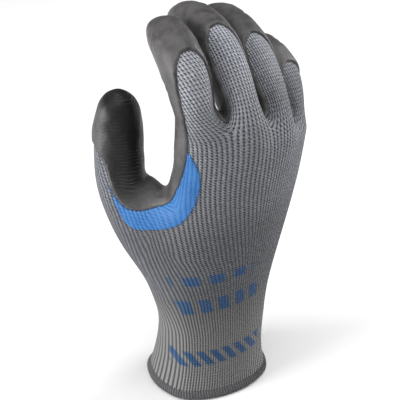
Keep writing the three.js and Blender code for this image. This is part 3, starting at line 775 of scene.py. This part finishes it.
def coat_relief(rows):
    """Soft dents, and creases across the inside of each finger joint."""
    inside = np.clip((rows[:, COAT] - COAT_FULL / 2) / INSIDE_BY, 0, 1)
    creases = np.zeros(len(rows))
    for at in CREASES_AT:
        creases -= np.exp(-((rows[:, SHARE] - at) / CREASE_WIDTH) ** 2)
    on_finger = rows[:, SHARE] > ROOT_SHARE
    return ripples(rows[:, PLACE], COAT_WAVES) + CREASE_DEPTH * creases * inside * on_finger


def band_relief(rows):
    """Slight dents."""
    return ripples(rows[:, PLACE], BAND_WAVES)


edge_noise = ripples(points[:, PLACE], EDGE_WAVES)
coat_distance = points[:, COAT] + edge_noise
band_distance = np.minimum(points[:, BAND] + edge_noise, -coat_distance + BAND_LAP)
coat = build_skin("latex_palm_coat", coat_distance, LAYER_GAP + COAT_WALL, COAT_EDGE, coat_relief)
band = build_skin("latex_thumb_band", band_distance, BAND_THICKNESS, BAND_EDGE, band_relief)

# %% [markdown]
# ## The overlocked hem
#
# The cuff's raw edge is bound by an overlock seam: a thick thread winds round the edge in close
# slanted turns. A plain rounded bead under it fills the gaps, and the thread is a thin tube
# carried along a helix that goes round the rim.

# %% Rim line
HEM_REACH = 2.8          # how far the seam reaches up the cuff
BEAD_OUT, BEAD_DOWN = 0.75, 1.35         # its thickness on the cloth, and below the rim
HEM_STITCHES, STITCH_STEPS = 128, 12
THREAD = 0.42            # radius of the thread
THREAD_LIFT = 0.12       # how far its middle lies outside the bead
BEAD_SIDES, BEAD_EVERY, THREAD_SIDES = 16, 6, 6


def rim_loop():
    """The rim's points in order, with their outward normals and the way down the cuff."""
    edges = open_edges(quads)
    after = np.full(len(points), -1)
    after[edges[:, 0]] = edges[:, 1]
    loop = [edges[0, 0]]
    while len(loop) < len(edges):
        loop.append(after[loop[-1]])
    loop = np.array(loop)
    line = points[loop, PLACE]
    along = unit(np.roll(line, -1, 0) - np.roll(line, 1, 0))
    out = normals[loop]
    down = unit(np.cross(out, along))
    down *= np.sign(-down[:, 2:3])
    return line, out, down


def resample(line, count):
    """A closed line's rows at count equal steps along its length."""
    closed = np.vstack([line, line[:1]])
    steps = np.linalg.norm(np.diff(closed[:, :3], axis=0), axis=1)
    length = np.concatenate([[0], np.cumsum(steps)])
    at = np.linspace(0, length[-1], count, endpoint=False)
    return np.stack([np.interp(at, length, column) for column in closed.T], 1)


def grid_faces(rows, columns):
    """Quads of a grid that closes both ways."""
    i, j = np.meshgrid(np.arange(rows), np.arange(columns), indexing="ij")
    i2, j2 = (i + 1) % rows, (j + 1) % columns
    return np.stack([i * columns + j, i * columns + j2, i2 * columns + j2, i2 * columns + j],
                    -1).reshape(-1, 4)


# %% Bead and thread
def hem_section(angle, grow):
    """The seam's section as ways out of the knit's face and down past the rim: a flattened
    loop round the edge of the cloth, by its angle from the outside."""
    out = (KNIT_WALL / 2 + BEAD_OUT + grow) * np.cos(angle) - KNIT_WALL / 2
    reach = np.where(np.sin(angle) > 0, BEAD_DOWN + grow, HEM_REACH + grow)
    return out, reach * np.sin(angle)


def circle(sides):
    """Angles round a circle."""
    return np.linspace(0, 2 * math.pi, sides, endpoint=False)


def build_hem():
    """The bead is the section carried along the rim, and the thread is a tube whose middle runs
    round the section once for every stitch."""
    line, out, down = rim_loop()
    steps = HEM_STITCHES * STITCH_STEPS
    path = resample(np.hstack([line, out, down]), steps)
    centre, out, down = path[:, 0:3], unit(path[:, 3:6]), unit(path[:, 6:9])
    away, below = hem_section(circle(BEAD_SIDES)[None, :], 0.0)
    few = slice(None, None, BEAD_EVERY)
    bead = (centre[few, None] + out[few, None] * away[..., None]
            + down[few, None] * below[..., None])

    away, below = hem_section(HEM_STITCHES * circle(steps), THREAD_LIFT)
    thread = centre + out * away[:, None] + down * below[:, None]
    ahead = unit(np.roll(thread, -1, 0) - np.roll(thread, 1, 0))
    side = unit(thread - (centre - out * KNIT_WALL / 2))
    side = unit(side - (side * ahead).sum(1, keepdims=True) * ahead)
    other = np.cross(ahead, side)
    ring = circle(THREAD_SIDES)[None, :, None]
    tube = thread[:, None] + THREAD * (side[:, None] * np.cos(ring) + other[:, None] * np.sin(ring))
    return [make_piece(name, grid.reshape(-1, 3), grid_faces(*grid.shape[:2]))
            for name, grid in (("hem_bead", bead), ("hem_thread", tube))]


hem_bead, hem_thread = build_hem()

# %% [markdown]
# ## Materials
#
# The knit pattern is one node group, because the grey yarn and the blue latex that soaked into it
# both show the same stitches. It reads wales and courses and gives a height for the bump and a
# mask for the dark holes between the loops.

# %% Node helpers
class Graph:
    """Short ways to add nodes to a node tree. Their inputs are sockets, numbers or colours."""

    def __init__(self, tree):
        self.tree = tree

    def feed(self, node, values):
        """Links or sets inputs of a node by their keys."""
        for key, value in values.items():
            if isinstance(value, bpy.types.NodeSocket):
                self.tree.links.new(value, node.inputs[key])
            else:
                node.inputs[key].default_value = (*value, 1) if isinstance(value, tuple) else value

    def add(self, kind, values, output=0, **settings):
        """Adds a shader node with its settings and inputs, and gives one of its outputs."""
        node = self.tree.nodes.new("ShaderNode" + kind)
        for key, value in settings.items():
            setattr(node, key, value)
        self.feed(node, values)
        return node.outputs[output]

    def math(self, operation, *values):
        return self.add("Math", dict(enumerate(values)), operation=operation)

    def plus(self, a, b):
        return self.math("ADD", a, b)

    def times(self, first, *others):
        for other in others:
            first = self.math("MULTIPLY", first, other)
        return first

    def ramp(self, value, low, high, to_low=0.0, to_high=1.0):
        """A smooth step from to_low at low to to_high at high."""
        return self.add("MapRange", {"Value": value, "From Min": low, "From Max": high,
                                     "To Min": to_low, "To Max": to_high},
                        "Result", interpolation_type="SMOOTHSTEP")

    def mix(self, factor, a, b, blend="MIX"):
        """Two colours mixed."""
        return self.add("Mix", {0: factor, 6: a, 7: b}, 2, data_type="RGBA", blend_type=blend)

    def noise(self, vector, scale, detail=2.0, roughness=0.5):
        return self.add("TexNoise", {"Vector": vector, "Scale": scale, "Detail": detail,
                                     "Roughness": roughness}, "Fac")

    def bump(self, height, distance, strength):
        return self.add("Bump", {"Height": height, "Distance": distance, "Strength": strength},
                        "Normal")

    def parts(self, vector):
        """The first two parts of a vector."""
        return self.add("SeparateXYZ", {0: vector}).node.outputs[:2]

    def place(self):
        """Object coordinates in millimetres."""
        return self.add("VectorMath", {0: self.add("TexCoord", {}, "Object"), "Scale": 1000.0},
                        operation="SCALE")

    def on_thumb(self):
        """How much of this spot is part of the thumb."""
        return self.add("Attribute", {}, "Fac", attribute_name="thumb")

    def group(self, tree, vector):
        """The outputs of a node group fed by a vector."""
        return self.add("Group", {0: vector}, node_tree=tree).node.outputs


def new_material(name, colour, **values):
    """A material with a Principled shader, its constant values set on the shader itself."""
    material = bpy.data.materials.new(name)
    material.use_nodes = True
    shader = material.node_tree.nodes["Principled BSDF"]
    graph = Graph(material.node_tree)
    graph.feed(shader, {"Base Color": colour, **{
        key.replace("_", " "): value for key, value in values.items()}})
    return material, graph, shader


def new_group(name, vector, outputs, fill):
    """A node group from one vector to some values, which fill gives in their order."""
    tree = bpy.data.node_groups.new(name, "ShaderNodeTree")
    tree.interface.new_socket(vector, in_out="INPUT", socket_type="NodeSocketVector")
    for output in outputs:
        tree.interface.new_socket(output, in_out="OUTPUT", socket_type="NodeSocketFloat")
    values = fill(Graph(tree), tree.nodes.new("NodeGroupInput").outputs[0])
    Graph(tree).feed(tree.nodes.new("NodeGroupOutput"), dict(zip(outputs, values)))
    return tree


# %% The stitch group
LOOP_SLANT = 1.0         # courses that a loop rises across one wale
RIDGE, GROOVE = 0.6, -0.4        # heights of a wale, and of the dents between its loops
CUFF_FADE = (16, -4)     # millimetres above the ribs' top, from no ribs to full ribs
LINE, RIB_LINE = 0.4, 0.35       # how dark the gap between two wales is, and how much more in ribs


def fill_stitches(graph, stitches):
    """Across a wale the height is a round ridge, the loops lie slanted on it like the strands
    of a rope, and a hole opens between neighbouring wales once in every course."""
    wale, course = graph.parts(stitches)
    ridge = graph.math("ABSOLUTE", graph.math("SINE", graph.times(wale, math.pi)))
    across = graph.math("ABSOLUTE", graph.math("SUBTRACT", graph.math("FRACT", wale), 0.5))
    slanted = graph.plus(course, graph.times(wale, LOOP_SLANT))
    loop = graph.math("COSINE", graph.times(slanted, 2 * math.pi))
    loop = graph.math("MULTIPLY_ADD", loop, 0.5, 0.5)
    height = graph.plus(graph.times(ridge, RIDGE), graph.times(loop, GROOVE))
    valley = graph.ramp(across, 0.17, 0.42)
    cuff = graph.ramp(course, *((RIB_TOP + above) / COURSE_HEIGHT for above in CUFF_FADE))
    dots = graph.ramp(loop, 0.25, 0.75)
    line = graph.math("MULTIPLY_ADD", cuff, RIB_LINE, LINE)
    return height, graph.times(valley, graph.math("MAXIMUM", dots, line)), cuff


STITCHES = new_group("knit stitches", "Stitches", ("Height", "Hole", "Rib"), fill_stitches)


def add_stitches(graph):
    """The stitch group's outputs, and the piece's own stitch coordinates that feed it."""
    uv = graph.add("UVMap", {}, uv_map="stitches")
    return graph.group(STITCHES, uv), uv


# %% [markdown]
# ### Grey knit
#
# A melange yarn: light and dark fibres that even out to a cool grey, with dark holes between the
# wales. Its colour is painted lighter towards the fingers and darker over the heel of the hand,
# partly because stretching opens the loops there and partly as painted shade. Ink marks at the
# wrist are plain slanted dashes, printed on the ribs.

# %% Ink and lightness
INK_TILT = -0.06         # courses that the ink's rows climb per wale
INK_EDGE = 0.4           # softness of a dash's ends
INK_DASH = (0.34, 0.26)  # half a dash's width, as a share of their spacing, from none to full ink
INK_ROWS = (             # lowest and highest course, spacing, slant, first and last wale
    (12.0, 17.5, 5.0, 0.85, -22.0, 14.0),
    (33.0, 38.5, 6.2, 0.15, -17.5, 13.0),
    (44.5, 48.0, 7.0, 0.0, -16.0, 9.0))
COURSES = 135.0          # the knit's lightness is set at shares of this many courses
# knit lightness by share of COURSES: darker over the heel and lightest on the fingers, partly
# stretch and partly painted shade
STRETCH_AND_SHADE = ((0.0, 0.54), (0.15, 0.48), (0.28, 0.31), (0.42, 0.31), (0.58, 0.50), (0.72, 0.58),
           (0.85, 1.0))


def ink_mask(graph, uv):
    """Rows of slanted dashes round the back of the cuff: bands in the course, crossed by
    stripes in wale plus a share of the course."""
    wale, course = graph.parts(uv)
    tilted = graph.plus(course, graph.times(wale, INK_TILT))

    def between(value, low, high):
        return (graph.ramp(value, low - INK_EDGE, low + INK_EDGE),
                graph.ramp(value, high + INK_EDGE, high - INK_EDGE))

    total = 0.0
    for low, high, spacing, slant, first, last in INK_ROWS:
        shifted = graph.plus(wale, graph.times(tilted, slant))
        stripe = graph.math("FRACT", graph.math("DIVIDE", shifted, spacing))
        stripe = graph.math("ABSOLUTE", graph.math("SUBTRACT", stripe, 0.5))
        mark = graph.times(*between(tilted, low, high), graph.ramp(stripe, *INK_DASH),
                           *between(wale, first, last))
        total = graph.math("MAXIMUM", total, mark)
    return total


def stretch_and_painted_shade(graph, uv):
    """How light the knit is painted by its course: partly its stretch over the heel, partly painted
    shade.
    """
    share = graph.math("DIVIDE", graph.parts(uv)[1], COURSES)
    shade = graph.add("ValToRGB", {0: share})
    ramp = shade.node.color_ramp
    ramp.interpolation = "EASE"
    while len(ramp.elements) < len(STRETCH_AND_SHADE):
        ramp.elements.new(0.5)
    for stop, (at, grey) in zip(ramp.elements, STRETCH_AND_SHADE):
        stop.position = at
        stop.color = (grey, grey, grey, 1)
    return shade


# %% Grey knit material
YARN_DARK, YARN_LIGHT, YARN_WARM = (0.25, 0.262, 0.30), (0.60, 0.628, 0.70), (0.36, 0.355, 0.35)
RIB_YARN, INK, HOLE = (0.475, 0.475, 0.465), (0.010, 0.09, 0.25), (0.016, 0.016, 0.02)


def knit_material():
    material, graph, shader = new_material(
        "grey knit", (0.3, 0.3, 0.31), Roughness=0.9, Sheen_Weight=0.15, Sheen_Roughness=0.5,
        Specular_IOR_Level=0.25)
    stitches, uv = add_stitches(graph)
    place = graph.place()
    melange = graph.noise(place, scale=1.1, detail=3, roughness=0.7)
    broad = graph.noise(place, scale=0.035, detail=1)
    colour = graph.mix(graph.ramp(melange, 0.3, 0.7), YARN_DARK, YARN_LIGHT)
    colour = graph.mix(graph.ramp(broad, 0.35, 0.65, 0.0, 0.25), colour, YARN_WARM)
    colour = graph.mix(stitches["Rib"], colour, RIB_YARN)
    # painted shade, in part stretch: the knit is multiplied darker over the heel and stays lightest
    # on the fingers
    colour = graph.mix(1.0, colour, stretch_and_painted_shade(graph, uv), "MULTIPLY")
    ink = graph.times(ink_mask(graph, uv), graph.ramp(melange, 0.2, 0.6, 0.7, 1.0))
    colour = graph.mix(ink, colour, INK)
    colour = graph.mix(graph.times(stitches["Hole"], 0.96), colour, HOLE)
    fibre = graph.noise(place, scale=3.5, detail=2)
    height = graph.plus(stitches["Height"], graph.times(fibre, 0.25))
    graph.feed(shader, {
        "Base Color": colour, "Normal": graph.bump(height, distance=0.001, strength=1.0)})
    return material


# %% [markdown]
# ### Charcoal and blue latex
#
# Foamed latex is matte with a faint sheen. It is mottled where it is thinner, crinkled all over by
# the foam, and on the thumb it gathers in short wrinkles. The thumb is painted darker and made less
# glossy, partly for its blacker latex and partly as painted shade. On the side that faces away from
# the hand, towards the left lamp, it is painted lighter, as if lit.

# %% Latex group
def fill_latex(graph, place):
    """Mottle, roughness and height of foamed latex from a place in millimetres."""
    cloud = graph.noise(place, scale=0.12, detail=4, roughness=0.6)
    crinkle = graph.noise(place, scale=0.9, detail=3, roughness=0.6)
    pores = graph.noise(place, scale=3.0, detail=2, roughness=0.5)
    height = graph.plus(graph.times(crinkle, 0.8), graph.times(pores, 0.35))
    return graph.ramp(cloud, 0.3, 0.7), graph.ramp(cloud, 0.3, 0.7, 0.34, 0.52), height


LATEX = new_group("foamed latex", "Place", ("Mottle", "Roughness", "Height"), fill_latex)


def thumb_wrinkles(graph, place):
    """Short wrinkles: warped bands in patches, on the thumb only."""
    wave = graph.add("TexWave", {"Vector": place, "Scale": 0.22, "Distortion": 5.0, "Detail": 2.0,
                                 "Detail Scale": 0.8}, "Fac", wave_type="BANDS",
                     bands_direction="Z")
    return graph.times(wave, graph.ramp(graph.noise(place, scale=0.07, detail=1), 0.45, 0.6),
                       graph.on_thumb())


# %% Latex materials
# the last colour set on these lines is the thumb's: its blacker latex together with painted shade
COAT_DARK, COAT_LIGHT, THUMB_BLACK_AND_SHADE = (0.042, 0.040, 0.0405), (0.088, 0.0835, 0.083), (
    0.006, 0.006, 0.0065)
BLUE_DARK, BLUE_LIGHT, BLUE_HOLE = (0.016, 0.12, 0.34), (0.03, 0.17, 0.43), (0.008, 0.075, 0.28)
COAT_GLOSS, THUMB_GLOSS = 0.42, 0.22


def charcoal_material():
    material, graph, shader = new_material("charcoal latex", (0.07, 0.067, 0.064))
    place = graph.place()
    latex = graph.group(LATEX, place)
    # Painted shade on the thumb: the colour darkens wherever the surface turns away from the left
    # lamp (-X) and is painted lighter where it faces it, on top of the thumb's blacker latex.
    facing = graph.parts(graph.add("NewGeometry", {}, "Normal"))[0]
    thumb_black_and_painted_shade = graph.times(graph.on_thumb(), graph.ramp(facing, -0.95, -0.55, 0.1, 1.0))
    colour = graph.mix(latex["Mottle"], COAT_DARK, COAT_LIGHT)
    height = graph.plus(latex["Height"], graph.times(thumb_wrinkles(graph, place), 1.1))
    graph.feed(shader, {
        "Base Color": graph.mix(graph.times(thumb_black_and_painted_shade, 0.9), colour, THUMB_BLACK_AND_SHADE),
        "Roughness": latex["Roughness"],
        "Specular IOR Level": graph.ramp(thumb_black_and_painted_shade, 0.0, 1.0, COAT_GLOSS, THUMB_GLOSS),
        "Normal": graph.bump(height, distance=0.0004, strength=0.6)})
    return material


def blue_material():
    material, graph, shader = new_material("blue latex", (0.05, 0.25, 0.68),
                                           Specular_IOR_Level=0.4)
    stitches, _ = add_stitches(graph)
    latex = graph.group(LATEX, graph.place())
    colour = graph.mix(latex["Mottle"], BLUE_DARK, BLUE_LIGHT)
    height = graph.plus(stitches["Height"], graph.times(latex["Height"], 0.3))
    graph.feed(shader, {
        "Base Color": graph.mix(graph.times(stitches["Hole"], 0.8), colour, BLUE_HOLE),
        "Roughness": latex["Roughness"],
        "Normal": graph.bump(height, distance=0.0005, strength=0.7)})
    return material


# %% Hem material
THREAD_DARK, THREAD_LIGHT = (0.07, 0.068, 0.075), (0.15, 0.148, 0.155)


def hem_material():
    material, graph, shader = new_material(
        "dark overlock thread", (0.1, 0.098, 0.105), Roughness=0.85, Sheen_Weight=0.2,
        Specular_IOR_Level=0.25)
    fibre = graph.noise(graph.place(), scale=2.2, detail=3, roughness=0.6)
    graph.feed(shader, {
        "Base Color": graph.mix(graph.ramp(fibre, 0.3, 0.7), THREAD_DARK, THREAD_LIGHT),
        "Normal": graph.bump(fibre, distance=0.0003, strength=0.6)})
    return material


# %% Dress the pieces
knit.data.materials.append(knit_material())
coat.data.materials.append(charcoal_material())
band.data.materials.append(blue_material())
thread_finish = hem_material()
for piece in (hem_bead, hem_thread):
    piece.data.materials.append(thread_finish)

for piece, nodes, slot in (
        (knit, ["knit_shell"], "grey_knit"),
        (coat, ["palm_coating"], "charcoal_latex"),
        (band, ["thumb_crotch_band"], "blue_latex"),
        (hem_bead, ["cuff_hem"], "hem_thread"),
        (hem_thread, [], "hem_thread")):
    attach(piece, "root")
    if nodes:
        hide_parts(*nodes)

# %% [markdown]
# ## Floor, light and camera
#
# A pale floor under the cuff, a soft light on each side, the left one stronger, a larger one from
# above, and a faint even surrounding.

# %% Floor
FLOOR_SIZE = 6
FLOOR_Z = min(corner[2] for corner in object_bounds())
bpy.ops.mesh.primitive_plane_add(size=FLOOR_SIZE, location=(0, 0, FLOOR_Z))
floor = bpy.context.object
floor.name = "floor"
floor.data.materials.append(new_material("pale floor", (0.9, 0.9, 0.9), Roughness=0.9,
                                         Specular_IOR_Level=0.1)[0])
floor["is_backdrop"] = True


# %% Lights
MIDDLE = (0.0, 0.0, 0.1035)
for name, place, size, power in (
        ("left_light", (-0.95, 0.1, 0.4), 0.6, 12),
        ("right_light", (0.95, 0.0, 0.5), 0.6, 8),
        ("top_light", (0, -0.1, 1.2), 0.9, 9)):
    light = bpy.data.lights.new(name, "AREA")
    light.size, light.energy = size, power
    lamp = bpy.data.objects.new(name, light)
    lamp.location = place
    lamp.rotation_euler = (Vector(MIDDLE) - Vector(place)).to_track_quat("-Z", "Y").to_euler()
    bpy.context.scene.collection.objects.link(lamp)

WORLD_STRENGTH = 0.22
world = bpy.data.worlds.new("studio")
world.use_nodes = True
Graph(world.node_tree).feed(world.node_tree.nodes["Background"],
                            {"Color": (1.0, 1.0, 1.0), "Strength": WORLD_STRENGTH})
bpy.context.scene.world = world
bpy.context.scene.view_settings.view_transform = "Standard"

# %% [markdown]
# The camera stands 0.7 m from the glove, 30 degrees round towards the thumb and 30 degrees up. Its
# lens makes one pixel of the 400 pixel frame 0.48 mm at the glove, and the small shift puts the
# glove where the photograph has it.

# %% Camera
AZIMUTH, ELEVATION = math.radians(-30), math.radians(30)
DISTANCE = 0.7
FRAME_PIXELS = 400
PIXEL = 0.00048
SENSOR = 36.0
GLOVE_AT = (207.0, 189.6)   # where the pivot lies in the frame, in pixels
pivot = Vector(MIDDLE)
back = Vector((math.sin(AZIMUTH) * math.cos(ELEVATION), -math.cos(AZIMUTH) * math.cos(ELEVATION),
               math.sin(ELEVATION)))
right = Vector((math.cos(AZIMUTH), math.sin(AZIMUTH), 0))
up = back.cross(right)
lens = bpy.data.cameras.new("camera")
lens.sensor_width = SENSOR
lens.lens = SENSOR * DISTANCE / (FRAME_PIXELS * PIXEL)
lens.shift_x = (FRAME_PIXELS / 2 - GLOVE_AT[0]) / FRAME_PIXELS
lens.shift_y = (GLOVE_AT[1] - FRAME_PIXELS / 2) / FRAME_PIXELS
camera = bpy.data.objects.new("camera", lens)
camera.matrix_world = Matrix.Translation(pivot + back * DISTANCE) @ Matrix(
    (right, up, back)).transposed().to_4x4()
bpy.context.scene.collection.objects.link(camera)
bpy.context.scene.camera = camera
